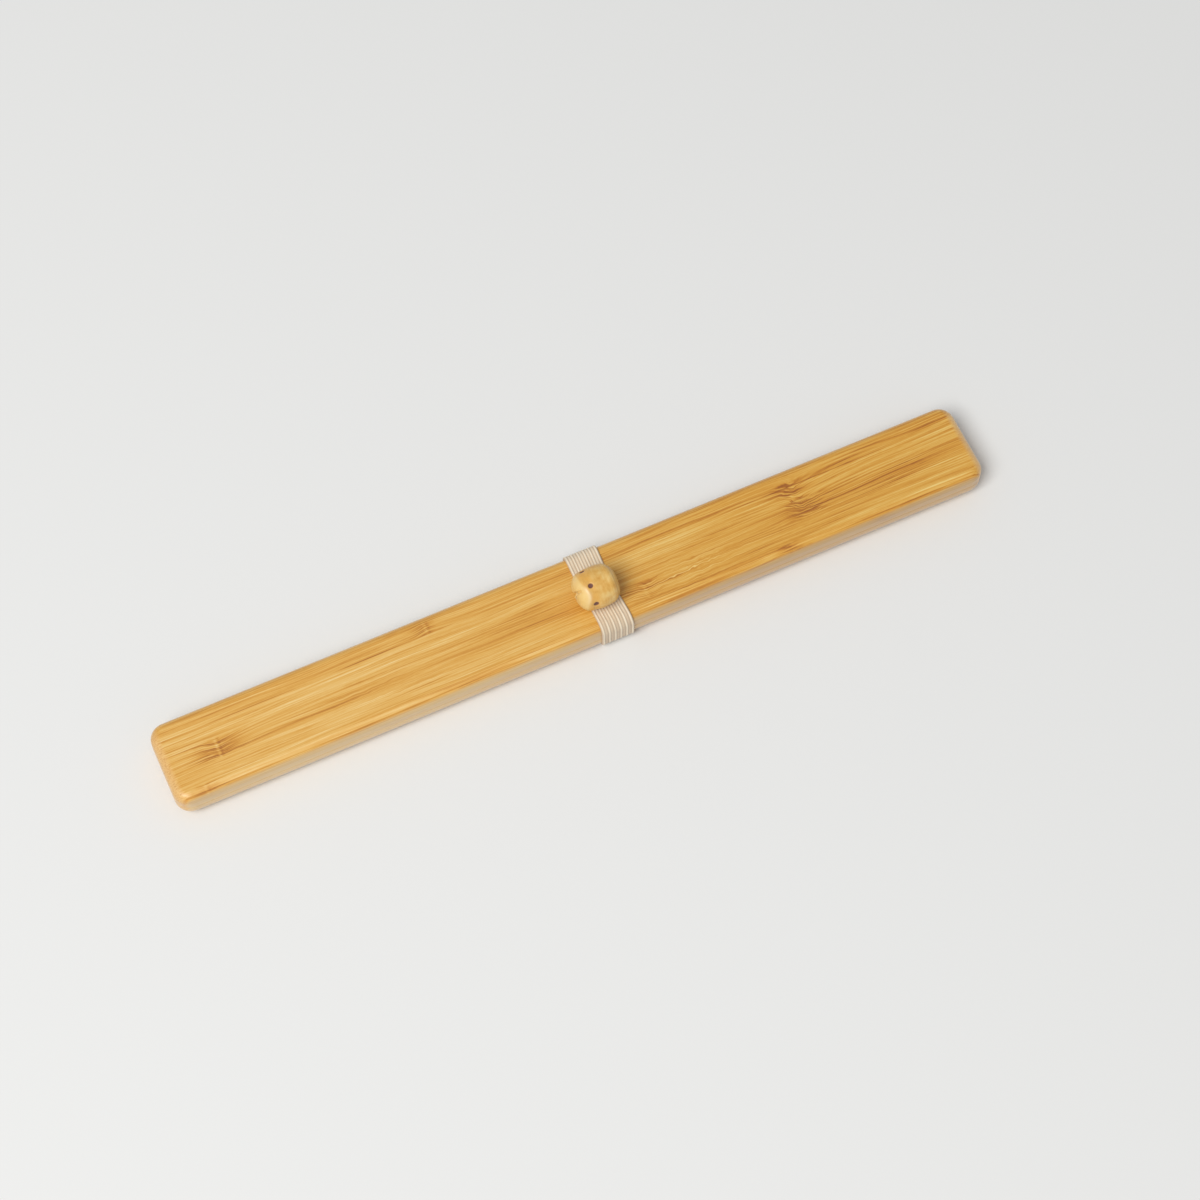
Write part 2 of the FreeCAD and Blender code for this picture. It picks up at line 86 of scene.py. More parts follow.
class Value:
    """A number that varies over a surface, on which Python's own operators work."""

    def __init__(self, recipe: "Recipe", socket: bpy.types.NodeSocket) -> None:
        """Wraps an output socket of a recipe's node."""
        self.recipe = recipe
        self.socket = socket

    def __add__(self, other: "Term") -> "Value":
        """Adds a number or value."""
        return self.recipe.math("ADD", self, other)

    def __sub__(self, other: "Term") -> "Value":
        """Takes a number or value away."""
        return self.recipe.math("SUBTRACT", self, other)

    def __rsub__(self, other: "Term") -> "Value":
        """Is taken away from a number."""
        return self.recipe.math("SUBTRACT", other, self)

    def __mul__(self, other: "Term") -> "Value":
        """Multiplies by a number or value."""
        return self.recipe.math("MULTIPLY", self, other)

    def __truediv__(self, other: "Term") -> "Value":
        """Divides by a number or value."""
        return self.recipe.math("DIVIDE", self, other)

    def __abs__(self) -> "Value":
        """Drops the sign."""
        return self.recipe.math("ABSOLUTE", self)

    __radd__ = __add__
    __rmul__ = __mul__


Term = Union[Value, float]


@dataclass(frozen=True)
class Gloss:
    """How a finish shines, the same all over it."""

    roughness: float = 0.5
    specular: float = 0.5
    coat: float = 0.0
    coat_roughness: float = 0.2
    sheen: float = 0.0
    sheen_roughness: float = 0.5


class Recipe:
    """A material under construction, with the few kinds of node that the finishes share."""

    def __init__(self, name: str, gloss: Gloss) -> None:
        """Starts a material.

        Args:
            name: The material's name.
            gloss: How it shines.
        """
        self.material = bpy.data.materials.new(name)
        self.material.use_nodes = True
        self.tree = self.material.node_tree
        self.shader = self.tree.nodes["Principled BSDF"]
        plain = {
            "Roughness": gloss.roughness,
            "Specular IOR Level": gloss.specular,
            "Coat Weight": gloss.coat,
            "Coat Roughness": gloss.coat_roughness,
            "Sheen Weight": gloss.sheen,
            "Sheen Roughness": gloss.sheen_roughness,
        }
        for socket, amount in plain.items():
            self.shader.inputs[socket].default_value = amount

    def node(
        self, kind: str, settings: Optional[dict[str, Any]] = None, inputs: Optional[dict[Any, Any]] = None
    ) -> bpy.types.Node:
        """Adds a node.

        Args:
            kind: The node's type, without its ShaderNode beginning.
            settings: Its properties, set first. stops is a ramp's list of (place, colour).
            inputs: Values or links for its sockets, by name or number.

        Returns:
            The node.
        """
        made = self.tree.nodes.new("ShaderNode" + kind)
        for key, setting in (settings or {}).items():
            if key == "stops":
                self._set_stops(made.color_ramp, setting)
            else:
                setattr(made, key, setting)
        for key, source in (inputs or {}).items():
            self._feed(made.inputs[key], source)
        return made

    @staticmethod
    def _set_stops(ramp: bpy.types.ColorRamp, stops: list[tuple[float, Colour]]) -> None:
        """Gives a ramp its stops, in rising order."""
        while len(ramp.elements) < len(stops):
            ramp.elements.new(1.0)
        for element, (place, colour) in zip(ramp.elements, stops):
            element.position = place
            element.color = (*colour, 1.0)

    def _feed(self, socket: bpy.types.NodeSocket, source: Any) -> None:
        """Links a value or socket to a socket, or sets it to a number, vector or colour."""
        if isinstance(source, Value):
            self.tree.links.new(source.socket, socket)
        elif isinstance(source, bpy.types.NodeSocket):
            self.tree.links.new(source, socket)
        elif isinstance(source, tuple) and socket.type == "RGBA":
            socket.default_value = (*source, 1.0)
        else:
            socket.default_value = source

    def math(self, operation: str, *terms: Term) -> Value:
        """Joins numbers and values with one Math node."""
        made = self.node("Math", {"operation": operation}, dict(enumerate(terms)))
        return Value(self, made.outputs[0])

    def rise(self, amount: Term, low: float, high: float) -> Value:
        """Goes smoothly from 0 at low to 1 at high, or the other way round where low is the larger."""
        bottom, top = sorted((low, high))
        ends = (0.0, 1.0) if low < high else (1.0, 0.0)
        inputs = {"Value": amount, "From Min": bottom, "From Max": top, "To Min": ends[0], "To Max": ends[1]}
        made = self.node("MapRange", {"interpolation_type": "SMOOTHSTEP"}, inputs)
        return Value(self, made.outputs["Result"])

    def bell(self, offset: Value, reach: float) -> Value:
        """Is 1 at no offset and falls off on both sides as a bell curve of that reach."""
        scaled = offset * (1.0 / reach)
        return self.math("POWER", math.exp(-1.0), scaled * scaled)

    def object_place(self) -> tuple[Value, Value, Value]:
        """Gives the point's own X, Y and Z in millimetres."""
        place = self.node("TexCoord").outputs["Object"]
        scaled = self.node("VectorMath", {"operation": "SCALE"}, {"Vector": place, "Scale": 1.0 / MM})
        parts = self.node("SeparateXYZ", inputs={"Vector": scaled.outputs["Vector"]})
        x, y, z = (Value(self, parts.outputs[axis]) for axis in "XYZ")
        return x, y, z

    def layer(self, layer: Layer) -> Value:
        """Reads a number that the mesh carries."""
        made = self.node("Attribute", {"attribute_type": "GEOMETRY", "attribute_name": layer.value})
        return Value(self, made.outputs["Fac"])

    def noise(self, place: tuple[Term, Term, Term], detail: float = 2.0, roughness: float = 0.5) -> Value:
        """Gives noise whose features are about one unit of the place across."""
        vector = self.node("CombineXYZ", inputs=dict(zip("XYZ", place)))
        inputs = {"Vector": vector.outputs[0], "Scale": 1.0, "Detail": detail, "Roughness": roughness}
        return Value(self, self.node("TexNoise", {"noise_dimensions": "3D"}, inputs).outputs["Fac"])

    def ramp(self, amount: Value, stops: list[tuple[float, Colour]]) -> bpy.types.NodeSocket:
        """Turns a number into a colour."""
        return self.node("ValToRGB", {"stops": stops}, {"Fac": amount}).outputs["Color"]

    def tint(self, amount: Term, colour: Any, other: Any, blend: str = "MIX") -> bpy.types.NodeSocket:
        """Mixes two colours.

        Args:
            amount: How much of the other colour shows.
            colour: The colour where the amount is 0.
            other: The colour where the amount is 1.
            blend: Blender's name of the way that they are mixed.

        Returns:
            The colour that comes out.
        """
        settings = {"data_type": "RGBA", "blend_type": blend, "clamp_factor": True}
        made = self.node("Mix", settings, {0: amount, COLOUR_A: colour, COLOUR_B: other})
        return made.outputs[COLOUR_RESULT]

    def finish(
        self, colour: bpy.types.NodeSocket, roughness: Optional[Value], relief: Optional[Value], depth: float
    ) -> bpy.types.Material:
        """Feeds the shader and hands over the material.

        Args:
            colour: The base colour.
            roughness: The roughness, where it varies.
            relief: The height of the fine relief, from 0 to 1.
            depth: How deep the relief is, in millimetres.

        Returns:
            The finished material.
        """
        self._feed(self.shader.inputs["Base Color"], colour)
        if roughness is not None:
            self._feed(self.shader.inputs["Roughness"], roughness)
        if relief is not None:
            bump = self.node("Bump", inputs={"Strength": 1.0, "Distance": depth * MM, "Height": relief})
            self._feed(self.shader.inputs["Normal"], bump.outputs["Normal"])
        return self.material


@dataclass(frozen=True)
class GrowthNode:
    """A growth node of the bamboo where it comes to the face of a strip, in millimetres."""

    along: float
    across: float
    half_width: float
    before: float
    after: float
    dark: float
    jump: float = 0.0
    settle: float = 10.0
    bar: float = 0.0


@dataclass(frozen=True)
class Streak:
    """A long patch, in millimetres, and how much paler it is than its strip or how far its fibres curl."""

    along: float
    across: float
    half_length: float
    half_width: float
    tone: float


@dataclass(frozen=True)
class Grain:
    """Noise drawn out along the fibres, with the length and width of its features in millimetres.

    The shift and offset, in widths, only give it a pattern of its own.
    """

    length: float
    width: float
    shift: float = 0.0
    offset: float = 0.0
    detail: float = 1.0
    roughness: float = 0.5

    def build(self, recipe: Recipe, x: Value, across: Value, z: Value, phase: Term) -> Value:
        """Makes the noise. The phase gives each strip fibres of its own."""
        place = (x / self.length, across / self.width + phase + self.shift, z / self.width + self.offset)
        return recipe.noise(place, self.detail, self.roughness)


@dataclass(frozen=True)
class BambooFinish:
    """Board made of glued bamboo strips: fibres along X, glue lines, growth nodes and end grain, with painted
    sheen and shade on the long sides.
    """

    name: str
    glue_lines: tuple[float, ...]
    glue_strengths: tuple[float, ...]
    strip_tones: tuple[float, ...]
    nodes: tuple[GrowthNode, ...]
    streaks: tuple[Streak, ...]
    end_grain_from: float
    seed: float
    curls: tuple[Streak, ...] = ()
    gloss: Gloss = Gloss(roughness=0.45, coat=0.42, coat_roughness=0.30, sheen=0.35, sheen_roughness=0.35)
    stops: tuple[tuple[float, Colour], ...] = (
        (0.00, (0.375, 0.127, 0.016)),
        (0.22, (0.57, 0.24, 0.03)),
        (0.45, (0.700, 0.357, 0.060)),
        (0.62, (0.768, 0.446, 0.107)),
        (0.80, (0.828, 0.545, 0.188)),
        (1.00, (0.905, 0.705, 0.350)),
    )
    # Darker and warmer to the right: partly the bamboo's tone, partly painted shade falling away from the
    # lamp on the left.
    right_tint: Colour = (0.920, 0.840, 0.545)
    # The long sides get a paler, greyer painted sheen for the reflection of the white floor, dimmed to the
    # right.
    side_painted_sheen: Colour = (0.720, 0.540, 0.295)
    side_sheen_right_fade: Colour = (0.85, 0.79, 0.73)
    # Painted shade towards the top of the long sides.
    side_top_painted_shade: Colour = (0.91, 0.93, 0.98)
    side_sheen_share: float = 0.62
    side_from: float = 11.9
    side_to: float = 12.7
    # End grain colour, paler than the faces: partly the end grain itself, partly painted sheen on the rounded
    # ends; paler still at the right end.
    end_grain: Colour = (0.73, 0.45, 0.18)
    right_end_grain: Colour = (0.88, 0.58, 0.26)
    pore_colour: Colour = (0.42, 0.19, 0.05)
    end_grain_share: float = 0.75
    end_grain_blend: float = 2.2
    broad: Grain = Grain(60.0, 2.2, detail=2.0)
    fibres: Grain = Grain(34.0, 0.46, detail=2.0, roughness=0.65)
    fine: Grain = Grain(24.0, 0.27, offset=7.0)
    dashes: Grain = Grain(1.8, 0.20, offset=11.0)
    bundles: Grain = Grain(30.0, 0.36, offset=5.0)
    lenses: Grain = Grain(8.0, 0.50, offset=19.0)
    hairs: Grain = Grain(48.0, 0.80, shift=60.0, detail=0.0)
    comb: Grain = Grain(9.0, 0.36, detail=0.0)
    pores: Grain = Grain(1.5, 0.28)
    wander: float = 1.3
    phase_step: float = 31.7
    relief_depth: float = 0.06

    def _strip_number(self, recipe: Recipe, across: Value) -> tuple[Value, Value]:
        """Counts the glue lines passed so far and adds up the steps in tone that they bring."""
        number = across * 0.0
        tone = number + self.strip_tones[0]
        for line, before, after in zip(self.glue_lines, self.strip_tones, self.strip_tones[1:]):
            passed = recipe.math("GREATER_THAN", across, line)
            number = number + passed
            tone = tone + passed * (after - before)
        return number, tone

    def _glue(self, recipe: Recipe, along: Value, across: Value) -> Value:
        """Draws each glue line as a thin dark line that comes and goes along the board."""
        dark = across * 0.0
        for number, (line, strength) in enumerate(zip(self.glue_lines, self.glue_strengths)):
            shown = recipe.noise((along / 26.0, self.seed + 9.1 * number, 0.0), detail=1.0)
            thin = recipe.rise(abs(across - line), 0.30, 0.04)
            dark = dark + thin * recipe.rise(shown, 0.30, 0.62) * strength
        return dark

    def _growth(self, recipe: Recipe, along: Value, across: Value) -> tuple[Value, Value, Value]:
        """Works out how far the nodes push the fibres aside, how dark they are and where a bar crosses.

        From a node on the fibres jump aside by its jump and settle back over its settling length. Round it
        they draw together, curl and bunch up dark, and a pale or dark bar crosses them.
        """
        shift = across * 0.0
        dark = across * 0.0
        bars = across * 0.0
        curl = recipe.noise((along / 3.2, across / 1.7 + self.seed, 3.0), detail=1.0) - 0.5
        for node in self.nodes:
            past, aside, half = along - node.along + curl * 1.2, across - node.across, node.half_width
            inside = recipe.rise(abs(aside), half * 1.15, half * 0.75)
            ahead, behind = recipe.math("MAXIMUM", past, 0.0), recipe.math("MINIMUM", past, 0.0)
            near = recipe.bell(ahead / node.after + behind / node.before, 1.0) * inside
            tail = recipe.math("POWER", math.exp(-1.0), ahead / node.settle)
            if node.jump:
                pushed = recipe.rise(abs(aside), half * 1.4, half * 0.5)
                shift = shift + recipe.rise(past, -4.5, 1.5) * tail * pushed * node.jump
            shift = shift + (aside * 0.12 + curl * 0.7) * near
            dark = dark + near * node.dark
            if node.bar:
                edge = recipe.bell(past - 0.95, 0.35) * 0.6
                bars = bars + (recipe.bell(past, 0.45) - edge) * inside * node.bar
        return shift + curl * self._patches(recipe, self.curls, along, across), dark, bars

    @staticmethod
    def _patches(recipe: Recipe, streaks: tuple[Streak, ...], along: Value, across: Value) -> Value:
        """Adds the tones of some streaks up."""
        tone = across * 0.0
        for streak in streaks:
            long = recipe.bell(along - streak.along, streak.half_length)
            tone = tone + long * recipe.bell(across - streak.across, streak.half_width) * streak.tone
        return tone

    def _lines(self, recipe: Recipe, place: tuple[Value, ...], soft: tuple[Value, ...]) -> Value:
        """Adds the fibres up.

        Args:
            recipe: The material.
            place: Where the noises are read.
            soft: The noises of the fibres, fine fibres and dashes, which show all over.

        Returns:
            What they all add to the tone. Bundles, lenses and hairs show as single lines only.
        """
        fibres, fine, dashes = soft
        wanted = (self.broad, self.bundles, self.lenses, self.hairs)
        broad, bundles, lenses, hairs = (grain.build(recipe, *place) for grain in wanted)
        dark_lines = recipe.rise(bundles, 0.60, 0.70)
        pale_lines = recipe.rise(bundles, 0.40, 0.30)
        dark_lenses = recipe.rise(lenses, 0.60, 0.72) * recipe.rise(broad, 0.56, 0.44)
        hair_lines = recipe.rise(abs(hairs - 0.5), 0.13, 0.03) * recipe.rise(fibres, 0.62, 0.40)
        tone = (broad - 0.5) * 0.50 + (fibres - 0.5) * 0.80 + (fine - 0.5) * 0.88 + (dashes - 0.5) * 0.26
        return tone - dark_lines * 0.22 - dark_lenses * 0.12 + pale_lines * 0.10 - hair_lines * 0.17 + 0.04

    def _colour(
        self, recipe: Recipe, place: tuple[Value, ...], tone: Value, on_end: Value
    ) -> bpy.types.NodeSocket:
        """Turns the tone into a colour: darker to the right, partly as painted shade; with a painted sheen
        and painted shade on the sides; and end grain with some painted sheen on the ends.
        """
        x, y, z = place
        to_right = recipe.rise(x, -70.0, 70.0)
        colour = recipe.ramp(tone, list(self.stops))
        # Painted shade in part: darker and warmer to the right.
        colour = recipe.tint(to_right, colour, self.right_tint, "MULTIPLY")

        # Painted sheen on the long sides: a paler, greyer colour for the white floor's reflection, dimmed to
        # the right.
        side = recipe.tint(self.side_sheen_share, colour, self.side_painted_sheen)
        side = recipe.tint(to_right, side, self.side_sheen_right_fade, "MULTIPLY")
        # Painted shade on the upper part of the long sides.
        side = recipe.tint(recipe.rise(z, 5.5, 10.0), side, self.side_top_painted_shade, "MULTIPLY")
        colour = recipe.tint(recipe.rise(abs(y), self.side_from, self.side_to), colour, side)

        # End grain, partly painted sheen on the rounded ends.
        pores = recipe.rise(self.pores.build(recipe, x, y, z, 0.0), 0.50, 0.66)
        end_colour = recipe.tint(pores * 0.6, self.end_grain, self.pore_colour)
        end_colour = recipe.tint(to_right * 0.7, end_colour, self.right_end_grain)
        return recipe.tint(on_end * self.end_grain_share, colour, end_colour)

    def build(self) -> bpy.types.Material:
        """Makes the material: a tone from 0, dark, to 1, pale, goes through one ramp of bamboo colours."""
        recipe = Recipe(self.name, self.gloss)
        x, y, z = recipe.object_place()
        wander = (recipe.noise((x / 34.0, y / 7.0, z / 7.0 + self.seed), detail=1.0) - 0.5) * self.wander
        shift, node_dark, bars = self._growth(recipe, x, y)
        number, strip_tone = self._strip_number(recipe, y)
        place = (x, y + wander + shift, z, number * self.phase_step + self.seed)
        wanted = (self.fibres, self.fine, self.dashes, self.comb)
        fibres, fine, dashes, comb = (grain.build(recipe, *place) for grain in wanted)

        teeth = recipe.rise(comb, 0.45, 0.54)
        strength = recipe.rise(x, -15.0, 45.0) * 0.22 + 0.76
        tone = strip_tone + self._lines(recipe, place, (fibres, fine, dashes)) * strength + bars
        tone = tone - node_dark * (0.14 + teeth * 1.45)
        tone = tone + self._patches(recipe, self.streaks, x, y + wander * 0.5)
        tone = tone - self._glue(recipe, x, y + wander * 0.12)

        on_end = recipe.rise(abs(x), self.end_grain_from, self.end_grain_from + self.end_grain_blend)
        colour = self._colour(recipe, (x, y, z), tone, on_end)
        rough = (fibres - 0.5) * 0.18 + on_end * 0.10 + self.gloss.roughness
        relief = fibres * 0.45 + fine * 0.30 + dashes * 0.25 - node_dark * teeth * 0.5
        return recipe.finish(colour, rough, relief, self.relief_depth)


def shape_mesh(
    name: str,
    points: np.ndarray,
    closed_rows: bool,
    layers: dict[Layer, np.ndarray],
    finish: bpy.types.Material,
) -> bpy.types.Object:
    """Makes a piece from a grid of points whose columns join up.

    The vertex of row r and column c has the number r * columns + c, and a face joins it to its neighbours in
    the next column and row. The faces are turned round if the volume inside them, a sixth of the sum of
    a . (b x c) over the triangles, comes out negative.

    Args:
        name: The piece's name.
        points: The grid, as rows by columns by 3, in millimetres.
        closed_rows: Whether the last row joins the first. If not, a flat face shuts each end.
        layers: Numbers for the points, as rows by columns.
        finish: The material.

    Returns:
        The object, at the origin.
    """
    rows, columns = points.shape[:2]
    number = np.arange(rows * columns).reshape(rows, columns)
    right = np.roll(number, -1, axis=1)
    last = rows if closed_rows else rows - 1
    up, up_right = np.roll(number, -1, axis=0)[:last], np.roll(right, -1, axis=0)[:last]
    faces = np.stack([number[:last], right[:last], up_right, up], axis=-1).reshape(-1, 4)
    flat = points.reshape(-1, 3)
    a, b, c, d = (flat[faces[:, k]] for k in range(4))
    volume = np.einsum("ij,ij->", a, np.cross(b, c)) + np.einsum("ij,ij->", a, np.cross(c, d))
    turned = volume < 0
    corners = faces[:, ::-1] if turned else faces
    starts = np.arange(0, corners.size, 4)
    corners = corners.reshape(-1)
    if not closed_rows:
        ends = [number[0][::-1], number[-1]]
        ends = [end[::-1] for end in ends] if turned else ends
        starts = np.append(starts, [corners.size, corners.size + columns])
        corners = np.concatenate([corners, *ends])

    mesh = bpy.data.meshes.new(name)
    mesh.vertices.add(rows * columns)
    mesh.vertices.foreach_set("co", (flat * MM).astype(np.float32).ravel())
    mesh.loops.add(corners.size)
    mesh.loops.foreach_set("vertex_index", corners.astype(np.int32))
    mesh.polygons.add(starts.size)
    mesh.polygons.foreach_set("loop_start", starts.astype(np.int32))
    mesh.update(calc_edges=True)
    mesh.validate()
    mesh.shade_smooth()
    for layer, amounts in layers.items():
        attribute = mesh.attributes.new(layer.value, "FLOAT", "POINT")
        attribute.data.foreach_set("value", amounts.astype(np.float32).ravel())
    mesh.materials.append(finish)
    piece = bpy.data.objects.new(name, mesh)
    bpy.context.scene.collection.objects.link(piece)
    LOG.info("%s: %d points, %d faces", name, rows * columns, starts.size)
    return piece


def attach(piece: bpy.types.Object, node: str, slot: Slot) -> None:
    """Lets a piece ride with the part and stand for its CAD node.

    Args:
        piece: The new piece.
        node: The CAD node that it stands for.
        slot: Not used.
    """
    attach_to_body(piece, "root")
    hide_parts(node)


def dress(node: str, finish: bpy.types.Material) -> None:
    """Gives a CAD node its finish."""
    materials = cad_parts[node].data.materials
    materials.clear()
    materials.append(finish)
    LOG.info("%s: dressed in %s", node, finish.name)


def node_box(node: str) -> tuple[np.ndarray, np.ndarray]:
    """Gives a CAD node's lowest and highest corner in millimetres."""
    low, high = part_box(node)
    return np.array(low) / MM, np.array(high) / MM


def step(amount: np.ndarray, low: float, high: float) -> np.ndarray:
    """Goes smoothly from 0 at low to 1 at high: t * t * (3 - 2t), where t is the share of the way."""
    share = np.clip((amount - low) / (high - low), 0.0, 1.0)
    return share * share * (3.0 - 2.0 * share)


def bell(offset: np.ndarray, reach: float) -> np.ndarray:
    """Is 1 at no offset and falls off as the exponential of minus the square of offset over reach."""
    return np.exp(-((offset / reach) ** 2))


def along_route(pieces: list[np.ndarray], count: int, closed: bool) -> tuple[np.ndarray, np.ndarray]:
    """Spreads points evenly over a flat route made of runs and arcs.

    Args:
        pieces: The runs and arcs in order, each as points by 2.
        count: The number of points wanted.
        closed: Whether the route comes back to its start, which is then not repeated.

    Returns:
        The points, and each one's length along the route.
    """
    route = np.concatenate([*pieces, pieces[0][:1]] if closed else pieces)
    length = np.append(0.0, np.cumsum(np.hypot(*np.diff(route, axis=0).T)))
    wanted = np.linspace(0.0, length[-1], count, endpoint=not closed)
    points = np.stack([np.interp(wanted, length, route[:, k]) for k in range(2)], axis=-1)
    return points, wanted


def arc(centre: tuple[float, float], radius: float, start: float, end: float, count: int = 48) -> np.ndarray:
    """Gives points on a flat arc, between two angles in degrees."""
    angle = np.radians(np.linspace(start, end, count))
    return np.stack([centre[0] + radius * np.cos(angle), centre[1] + radius * np.sin(angle)], axis=-1)


# Glue lines, nodes and streaks lie where the photograph shows them on the lid. A node or streak starts with
# its place along and across the case and its half width or half length and width. A node's next two numbers
# say how far it reaches to the left and right.
LID_BAMBOO = BambooFinish(
    name="case_bamboo_lid",
    glue_lines=(-11.75, -4.35, 1.70, 6.60),
    glue_strengths=(0.28, 0.10, 0.08, 0.40),
    strip_tones=(0.53, 0.60, 0.55, 0.62, 0.54),
    nodes=(
        GrowthNode(-108.8, -1.3, 3.0, 6.5, 6.5, dark=0.29, jump=0.9, bar=0.22),
        GrowthNode(-116.2, -11.3, 1.5, 3.0, 6.0, dark=0.17, jump=0.4, bar=0.12),
        GrowthNode(-42.5, 8.6, 2.0, 4.6, 3.0, dark=0.26, jump=-0.8, bar=0.14),
        GrowthNode(19.0, -6.5, 2.8, 6.0, 6.5, dark=0.24, jump=0.8, bar=0.08),
        GrowthNode(70.5, 2.2, 6.0, 9.0, 9.0, dark=0.05, jump=2.0, settle=17.0),
        GrowthNode(70.3, 5.8, 2.3, 6.0, 4.0, dark=0.30),
        GrowthNode(71.4, -0.8, 3.2, 5.0, 8.0, dark=0.36),
        GrowthNode(62.3, -11.0, 1.4, 4.0, 4.0, dark=0.34, bar=-0.06),
        GrowthNode(90.7, -13.5, 1.3, 4.0, 4.0, dark=0.22),
    ),
    streaks=(
        Streak(-85.0, -3.2, 26.0, 0.9, tone=-0.16),
        Streak(-28.0, -3.0, 34.0, 1.2, tone=-0.14),
        Streak(106.0, -1.9, 26.0, 1.0, tone=-0.20),
        Streak(104.0, -10.2, 20.0, 0.30, tone=0.30),
        Streak(-60.0, -6.4, 44.0, 1.6, tone=0.08),
        Streak(66.0, -6.6, 24.0, 1.8, tone=-0.10),
        Streak(42.0, 7.8, 60.0, 0.35, tone=-0.16),
        Streak(100.0, 5.9, 40.0, 0.22, tone=0.16),
        Streak(-100.0, 8.4, 30.0, 0.8, tone=-0.10),
    ),
    curls=(
        Streak(36.0, -5.0, 12.0, 4.0, tone=2.2),
        Streak(-58.0, -4.0, 14.0, 3.0, tone=1.2),
    ),
    end_grain_from=121.8,
    seed=3.4,
)

# The base is made of other strips than the lid.
BASE_BAMBOO = BambooFinish(
    name="case_bamboo_base",
    glue_lines=(-6.9, -1.2, 4.4, 10.3),
    glue_strengths=(0.20, 0.14, 0.12, 0.26),
    strip_tones=(0.60, 0.55, 0.61, 0.54, 0.58),
    nodes=(
        GrowthNode(-71.0, -3.6, 2.6, 6.0, 4.5, dark=0.34, jump=1.0, bar=0.2),
        GrowthNode(38.0, 7.2, 2.7, 6.0, 4.6, dark=0.32, jump=-1.2, bar=0.2),
        GrowthNode(96.0, 1.6, 2.6, 5.0, 4.4, dark=0.32, jump=0.8, bar=-0.1),
    ),
    streaks=(
        Streak(-20.0, 1.4, 50.0, 1.1, tone=-0.14),
        Streak(70.0, -8.6, 40.0, 1.3, tone=0.10),
    ),
    end_grain_from=121.8,
    seed=17.9,
)

# The chopsticks are paler than the case and have no glue lines.
STICK_BAMBOO = BambooFinish(
    name="stick_bamboo",
    glue_lines=(0.0,),
    glue_strengths=(0.0,),
    strip_tones=(0.64, 0.70),
    nodes=(
        GrowthNode(42.0, 3.5, 3.0, 3.6, 3.0, dark=0.22, jump=0.3, bar=0.12),
        GrowthNode(-37.0, -3.5, 3.0, 3.6, 3.0, dark=0.22, jump=0.3, bar=0.12),
    ),
    streaks=(),
    end_grain_from=113.9,
    seed=41.3,
)


@dataclass
class BambooCase:
    """The two shells, the dowels between them and the chopsticks inside, all CAD solids dressed in wood."""

    lid: BambooFinish = LID_BAMBOO
    base: BambooFinish = BASE_BAMBOO
    stick: BambooFinish = STICK_BAMBOO

    def dowel_finish(self) -> bpy.types.Material:
        """Makes the dowels' wood: grain along Z, rings on the ends and a matt skin."""
        recipe = Recipe("dowel_wood", Gloss(roughness=0.65, specular=0.4))
        x, y, z = recipe.object_place()
        grain = recipe.noise((x / 0.22, y / 0.22, z / 4.0))
        pores = recipe.noise((x / 0.08, y / 0.08, z / 0.7), detail=1.0)
        tone = grain * 0.8 + pores * 0.2
        stops = [(0.25, (0.44, 0.27, 0.13)), (0.5, (0.62, 0.43, 0.24)), (0.8, (0.72, 0.54, 0.33))]
        colour = recipe.ramp(tone, stops)
        return recipe.finish(colour, grain * 0.2 + 0.55, tone, 0.03)

    def build(self) -> None:
        """Dresses every solid of the case."""
        dress("case_lid", self.lid.build())
        dress("case_base", self.base.build())
        sticks, dowels = self.stick.build(), self.dowel_finish()
        for side in ("front", "back"):
            dress(f"chopstick_{side}", sticks)
        for side in ("left", "right"):
            dress(f"locating_dowel_{side}", dowels)


